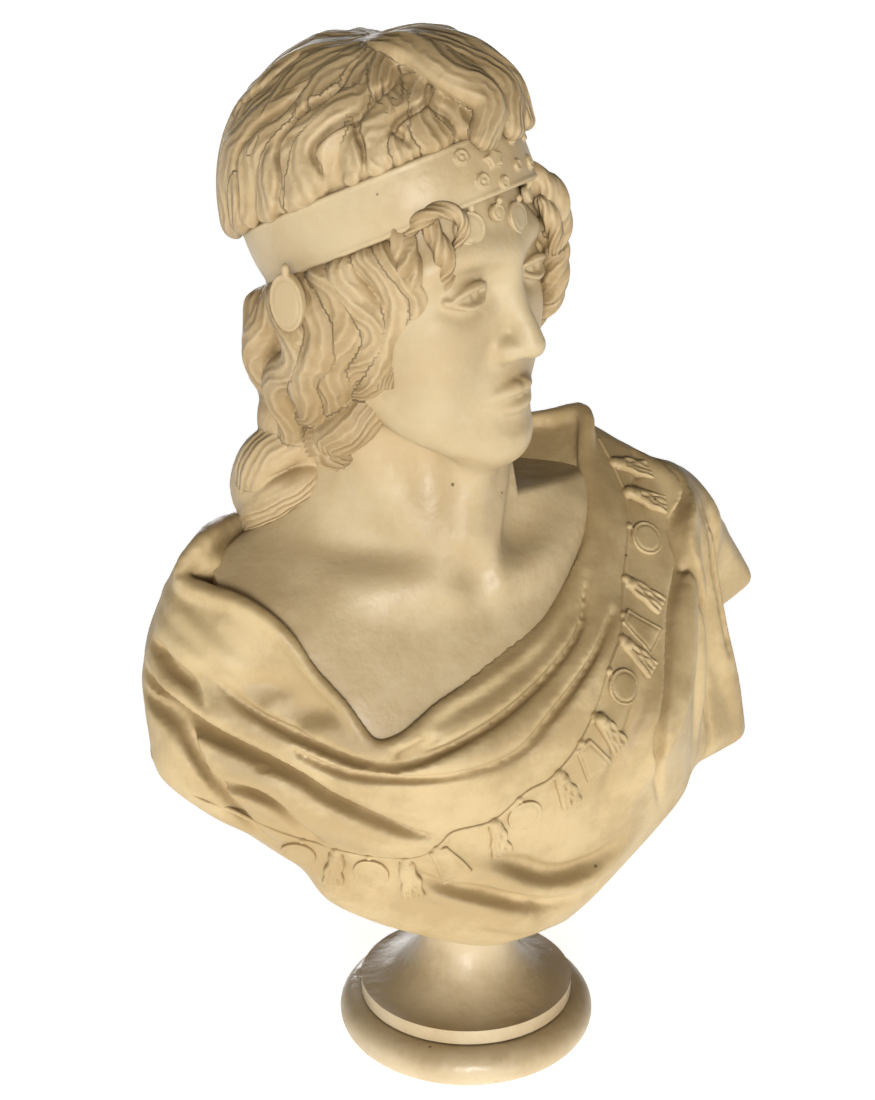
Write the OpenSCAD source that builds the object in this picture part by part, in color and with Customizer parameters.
// Marble bust on a turned socle: a head and chest block set into a draped torso,
// tied to the socle by one iron rod. Millimetres, +Z up, front towards -Y,
// origin at the centre of the underside.

/* [Socle] */
// Radius of the cushion-shaped foot
foot_r = 88; // [82:1:96]
// Height of the foot's top above the floor
foot_top = 29; // [27:1:31]
// Radius of the drum's rim
rim_r = 73; // [70:1:75]
// Height of the drum's upright rim
rim_h = 10; // [8:1:12]
// Radius of the stem at the top of the socle
stem_r = 31; // [29:1:33]
// Height of the socle's top
socle_top = 86; // [85:1:87]

/* [Fixings] */
// Radius of the iron tie rod
rod_r = 5; // [4:0.5:6]
// Height of the tie rod's upper end
rod_top = 175; // [150:5:185]
// Thickness of the felt disc
felt_t = 2; // [1:0.5:3]
// Thickness of the mortar bed between socle and torso
mortar_t = 6; // [5:1:7]

/* [Torso] */
// Reach of the right sleeve from the middle
right_reach = 206; // [202:1:210]
// Reach of the left sleeve from the middle
left_reach = 208; // [204:1:212]
// Radius of the rolled neckline of the cloak
roll_r = 11; // [9:1:13]
// Gap between the chest block and its socket
socket_gap = 0.8; // [0.5:0.1:1.2]

/* [Head] */
// Height of the bare head from chin to crown
head_h = 220; // [214:1:224]
// Turn of the head towards the left shoulder
head_turn = 31; // [27:1:34]
// Lean of the head towards the right shoulder
head_lean = 7; // [4:1:9]
// Forward nod of the head
head_nod = 2; // [0:1:4]

/* [Hidden] */

stone_fn = 96;
form_fn = 22;
seat_z = socle_top + mortar_t;
bed_t = 1;
rod_hole_r = rod_r + 1;
lead_r = rod_r + 5;
recess_r = 17;
recess_top = 15;
washer_t = 2;
nut_h = 8;
nut_w = 17;
nut_z = recess_top - washer_t - nut_h;
rod_bottom = nut_z - 1;
head_at = [-52, -18, 545];
socket_z = 222;
socket_at = [-15, -12];
socket_half = [84, 54];
plaster_t = 3;
dowel_r = 4;
dowel_h = 50;
dowel_x = [-55, 25];
dowel_y = -12;
marble = [0.86, 0.78, 0.64];
plaster = [0.78, 0.72, 0.60];
iron = [0.30, 0.28, 0.27];
lead = [0.45, 0.46, 0.48];
felt = [0.22, 0.28, 0.20];

// ---- Curves and forms ----

// One point of a smooth curve between b and c, with neighbours a and d.
function curve_point(a, b, c, d, t) =
    0.5 * (2 * b + (c - a) * t + (2 * a - 5 * b + 4 * c - d) * t * t
    + (3 * b - 3 * c + d - a) * t * t * t);

// A smooth curve through the points, with steps pieces to a span.
function curve(p, steps, closed = false) =
    let (n = len(p), spans = closed ? n : n - 1)
    [for (i = [0:spans - 1], s = [0:steps - 1])
        curve_point(
            p[closed ? (i + n - 1) % n : max(i - 1, 0)], p[i], p[(i + 1) % n],
            p[closed ? (i + 2) % n : min(i + 2, n - 1)], s / steps),
     if (!closed) p[n - 1]];

function at(p) = [p[0], p[1], p[2]];
function unit(v) = v / norm(v);

// One ring of a tube: sides points round a path point [x, y, z, radius].
// The path never runs along the direction aside.
function ring(path, i, sides, closed, aside) =
    let (n = len(path),
        before = closed ? (i + n - 1) % n : max(i - 1, 0),
        after = closed ? (i + 1) % n : min(i + 1, n - 1),
        along = unit(at(path[after]) - at(path[before])),
        across = unit(cross(along, aside)),
        up = cross(across, along))
    [for (k = [0:sides - 1])
        let (angle = 360 * k / sides)
        at(path[i]) + path[i][3] * (cos(angle) * across + sin(angle) * up)];

// A round cord along a smooth curve through balls, each [x, y, z, radius].
module cord(balls, steps = 4, sides = 8, closed = false, aside = [0, 0, 1]) {
    path = curve(balls, steps, closed);
    n = len(path);
    rows = closed ? n : n - 1;
    polyhedron(
        points = [for (i = [0:n - 1]) each ring(path, i, sides, closed, aside)],
        faces = [
            for (i = [0:rows - 1], k = [0:sides - 1])
                let (a = i * sides + k, b = i * sides + (k + 1) % sides,
                    c = ((i + 1) % n) * sides + (k + 1) % sides,
                    d = ((i + 1) % n) * sides + k)
                each [[a, b, c], [a, c, d]],
            if (!closed) [for (k = [sides - 1:-1:0]) k],
            if (!closed) [for (k = [0:sides - 1]) (n - 1) * sides + k]]);
}

// A ball stretched to its three half sizes.
module egg(centre, half) translate(centre) scale(half) sphere(1, $fn = form_fn);

// Carved forms are meshed as one closed surface; their size stays as drawn.
module carved() resize([0, 0, 0]) children();

// ---- Socle ----

module socle_foot() color(marble) rotate_extrude($fn = stone_fn) difference() {
    edge_r = (foot_top - felt_t) / 2;
    union() {
        translate([rod_hole_r, felt_t])
            square([foot_r - edge_r - rod_hole_r, 2 * edge_r]);
        translate([foot_r - edge_r, felt_t + edge_r]) circle(edge_r);
    }
    translate([0, felt_t - 1]) square([recess_r, recess_top - felt_t + 1]);
}

module socle_drum() color(marble) rotate_extrude($fn = stone_fn) difference() {
    base = foot_top + bed_t;
    sweep_r = rim_r - 2 - stem_r;
    union() {
        translate([rod_hole_r, base]) square([rim_r - rod_hole_r, rim_h]);
        translate([rod_hole_r, base]) square([rim_r - 2 - rod_hole_r, socle_top - base]);
    }
    translate([rim_r - 2, base + rim_h + sweep_r]) circle(sweep_r);
    translate([stem_r, base + rim_h + sweep_r]) square([rim_r, socle_top]);
}

module drum_bed() color(plaster) translate([0, 0, foot_top])
    difference() {
        cylinder(h = bed_t, r = rim_r - 3, $fn = stone_fn);
        translate([0, 0, -1]) cylinder(h = 3, r = rod_hole_r + 4, $fn = stone_fn);
    }

module felt_disc() color(felt) cylinder(h = felt_t, r = foot_r - 12, $fn = stone_fn);

// ---- Fixings ----

module tie_rod() color(iron) translate([0, 0, rod_bottom])
    cylinder(h = rod_top - rod_bottom, r = rod_r, $fn = 48);

module square_nut() color(iron) translate([0, 0, nut_z])
    difference() {
        translate([-nut_w / 2, -nut_w / 2, 0]) cube([nut_w, nut_w, nut_h]);
        translate([0, 0, -1]) cylinder(h = nut_h + 2, r = rod_r + 0.05, $fn = 48);
    }

module washer() color(iron) translate([0, 0, recess_top - washer_t])
    difference() {
        cylinder(h = washer_t, r = recess_r - 2, $fn = 64);
        translate([0, 0, -1]) cylinder(h = washer_t + 2, r = rod_r + 0.5, $fn = 48);
    }

module mortar_collar() color(plaster) rotate_extrude($fn = stone_fn) difference() {
    union() {
        translate([rod_hole_r, socle_top]) square([stem_r - rod_hole_r, mortar_t]);
        translate([stem_r, socle_top + mortar_t / 2]) circle(mortar_t / 2);
    }
    translate([0, socle_top - 1]) square([rod_hole_r, mortar_t + 2]);
}

module lead_plug() color(lead) translate([0, 0, seat_z])
    difference() {
        cylinder(h = rod_top + 5 - seat_z, r = lead_r, $fn = 48);
        translate([0, 0, -1]) cylinder(h = rod_top + 1 - seat_z, r = rod_r + 0.02, $fn = 48);
    }

// ---- Head and chest block ----

// The bare chest and shoulders, grown by gap for the socket they sit in.
module chest_form(gap) {
    hull() {
        translate([socket_at.x, socket_at.y, socket_z - gap])
            scale([socket_half.x + gap, socket_half.y + gap, 1])
            cylinder(h = 10, r = 1, $fn = 40);
        egg([-22, -40, 302], [76 + gap, 48 + gap, 44 + gap]);
        egg([-76, -44, 296], [46 + gap, 42 + gap, 30 + gap]);
        egg([-26, 6, 338], [118 + gap, 46 + gap, 32 + gap]);
    }
    hull() {
        egg([-112, 10, 338], [36 + gap, 36 + gap, 26 + gap]);
        egg([-40, 6, 388], [50 + gap, 46 + gap, 24 + gap]);
        egg([48, 6, 372], [33 + gap, 38 + gap, 24 + gap]);
    }
}

module neck() hull() {
    egg([-40, 2, 388], [50, 46, 20]);
    egg([-50, -6, 455], [44, 48, 30]);
}

// The bare head in its own frame: face towards -Y, centre half way from chin to crown.
module head_form() {
    half = head_h / 2;
    egg([0, 8, 20], [66, 84, half - 20]);
    hull() {
        egg([0, -20, -8], [58, 62, 46]);
        egg([0, -62, 19 - half], [20, 18, 19]);
        egg([0, -8, 50 - half], [46, 42, 28]);
    }
    // nose
    cord([[0, -78, 14, 6], [0, -88, -6, 7], [0, -95, -24, 8], [0, -82, -31, 6]],
        2, aside = [1, 0, 0]);
    // lips
    egg([0, -80, -54], [21, 9, 8]);
}

// Locks beside the face on both sides, from the band down to their curled ends.
module side_locks() for (side = [-1, 1], i = [0:3]) {
    back = 24 * i;
    cord([
        [side * 62, back - 48, 24, 13],
        [side * 72, back - 46, -6, 15],
        [side * 71, back - 40, -38, 14],
        [side * (64 - 3 * i), back - 32, -66 - 5 * i, 12],
        [side * (52 - 4 * i), back - 24, -82 - 7 * i, 8]], 2, aside = [0, 1, 0]);
}

// Locks combed down over the crown from the parting to the band.
module crown_locks() for (i = [0:13]) {
    turn = 360 * i / 14;
    sway = i % 2 == 0 ? 5 : -5;
    cord([for (k = [0:4])
        let (drop = 18 + 16 * k, bend = turn + (k % 2 == 0 ? sway : -sway))
        [68 * sin(drop) * sin(bend), 13 - 87 * sin(drop) * cos(bend), 36 + 85 * cos(drop), 14]],
        2, 6, aside = [cos(turn), sin(turn), 0]);
}

// Hair masses round the head, in the head's frame.
module hair_form() {
    egg([0, 13, 36], [75, 94, 90]);
    crown_locks();
    side_locks();
    // forelock over the band
    for (x = [-22, -2, 18])
        cord([[x * 0.4, -10, 112, 12], [x, -40, 108, 15], [x + 4, -64, 94, 14],
            [x + 2, -74, 80, 9]], 3, aside = [1, 0, 0]);
    // hair gathered back and down to the knot at the nape
    for (side = [-1, 1])
        cord([[side * 60, 26, -10, 20], [side * 48, 56, -48, 22], [side * 20 - 16, 74, -92, 20],
            [-38, 74, -128, 18]], 3, aside = [1, 0, 0]);
    egg([0, 50, -36], [52, 42, 56]);
    egg([-44, 74, -142], [29, 30, 38]);
}

module headband_form() intersection() {
    egg([0, 13, 32], [81, 100, 96]);
    rotate([-24, 0, 0]) translate([-150, -150, 2]) cube([300, 300, 32]);
}

module posed_head() translate(head_at) rotate([0, 0, head_turn])
    rotate([0, -head_lean, 0]) rotate([head_nod, 0, 0]) children();

module dowel_pins(extra) for (x = dowel_x)
    translate([x, dowel_y, socket_z - dowel_h / 2 - plaster_t / 2])
        cylinder(h = dowel_h, r = dowel_r + extra, $fn = 40);

module head_and_chest() color(marble) difference() {
    carved() {
        chest_form(0);
        neck();
        posed_head() {
            head_form();
            difference() {
                hair_form();
                // the face stays clear of hair
                translate([-50, -200, -160]) cube([100, 160, 184]);
            }
            headband_form();
        }
    }
    dowel_pins(0.1);
}

// ---- Draped torso ----

// The loop of the neckline: its low point, up over the right shoulder,
// round the back, over the left shoulder and down the front.
neckline = [[-97, -104, 278], [-120, -96, 300], [-142, -74, 330], [-160, -38, 354],
    [-168, 20, 360], [-135, 66, 364], [-48, 90, 392], [40, 78, 416], [88, 34, 424],
    [84, -8, 410], [76, -34, 388], [60, -60, 350], [22, -90, 312], [-32, -106, 288]];

module cloak_mass() {
    hull() {
        for (p = neckline) translate(p) sphere(7, $fn = 8);
        egg([-right_reach + 50, 12, 298], [50, 48, 48]);
        egg([-152, 0, 248], [52, 45, 45]);
        egg([-112, -12, 183], [46, 42, 42]);
        egg([-45, -52, 248], [72, 60, 50]);
        egg([60, -48, 258], [70, 62, 55]);
        egg([100, -18, 188], [45, 44, 35]);
        egg([15, -35, 146], [72, 48, 50]);
        translate([0, 0, seat_z]) cylinder(h = 10, r = 42, $fn = 40);
        egg([0, 44, 320], [120, 42, 45]);
        egg([120, 20, 350], [50, 46, 36]);
    }
    // the front point of the cloak over the stem
    hull() {
        egg([-4, -50, 96], [10, 8, 7]);
        egg([0, -38, 138], [60, 36, 30]);
        egg([0, -20, 118], [34, 26, 22]);
    }
    // hanging left sleeve with its two corners
    hull() {
        egg([130, 20, 356], [40, 40, 36]);
        egg([left_reach - 18, -6, 196], [16, 20, 14]);
        egg([130, -20, 198], [40, 34, 28]);
    }
    hull() {
        egg([140, 25, 350], [36, 36, 34]);
        egg([left_reach + 14, 38, 280], [11, 10, 11]);
        egg([left_reach - 12, 40, 266], [12, 12, 12]);
    }
}

// Everything inside the neckline, up to the open air.
module neck_opening() hull() {
    for (p = neckline) translate(p) sphere(1, $fn = 8);
    for (p = neckline) translate([1.1 * p.x, 1.1 * p.y - 20, p.z + 150]) sphere(1, $fn = 8);
}

// Long folds swept from the right shoulder across the front.
sweeping_folds = [
    [[-178, 5, 330, 10], [-158, -62, 290, 12], [-105, -104, 248, 12], [-30, -116, 240, 11],
        [40, -106, 262, 7]],
    [[-198, 0, 300, 10], [-172, -52, 250, 12], [-110, -88, 205, 12], [-40, -100, 185, 8]],
    [[-188, -10, 240, 9], [-150, -46, 190, 12], [-90, -70, 155, 11], [-30, -74, 135, 7]]];

// Folds that fall from the left shoulder.
falling_folds = [
    [[98, 10, 408, 10], [106, -40, 360, 12], [108, -76, 290, 12], [88, -80, 220, 11],
        [56, -68, 160, 6]],
    [[128, 20, 388, 11], [148, -22, 340, 13], [152, -50, 265, 13], [140, -48, 200, 7]],
    [[156, 30, 372, 11], [188, 5, 320, 12], [198, -4, 250, 11], [196, -8, 204, 7]]];

// Hollows in the back, either side of a rib that carries the weight down to the stem.
module back_hollows() for (side = [-1, 1]) {
    egg([side * 78, 98, 236], [54, 52, 72]);
    egg([side * 44, 70, 170], [20, 34, 40]);
}

module draped_torso() color(marble) difference() {
    carved() difference() {
        union() {
            difference() {
                cloak_mass();
                neck_opening();
            }
            cord([for (p = neckline) [p.x, p.y, p.z, roll_r]], 3, 10, true);
            for (fold = sweeping_folds) cord(fold);
            for (fold = falling_folds) cord(fold, aside = [1, 0, 0]);
        }
        chest_form(socket_gap);
        translate([socket_at.x, socket_at.y, socket_z - plaster_t])
            scale([socket_half.x - 4, socket_half.y - 4, 1])
            cylinder(h = plaster_t + 2, r = 1, $fn = 40);
        back_hollows();
    }
    translate([0, 0, seat_z - 30])
        cylinder(h = rod_top + 5 - seat_z + 30, r = lead_r, $fn = 48);
    translate([0, 0, seat_z - 30]) cylinder(h = 30, r = stem_r + mortar_t, $fn = stone_fn);
    dowel_pins(0.1);
}

module chest_bed() color(plaster) difference() {
    translate([socket_at.x, socket_at.y, socket_z - plaster_t])
        scale([socket_half.x - 6, socket_half.y - 6, 1])
        cylinder(h = plaster_t, r = 1, $fn = 48);
    dowel_pins(0.5);
}

module chest_dowels() color(iron) dowel_pins(0);

socle_foot();
socle_drum();
drum_bed();
felt_disc();
tie_rod();
square_nut();
washer();
mortar_collar();
lead_plug();
draped_torso();
chest_bed();
chest_dowels();
head_and_chest();
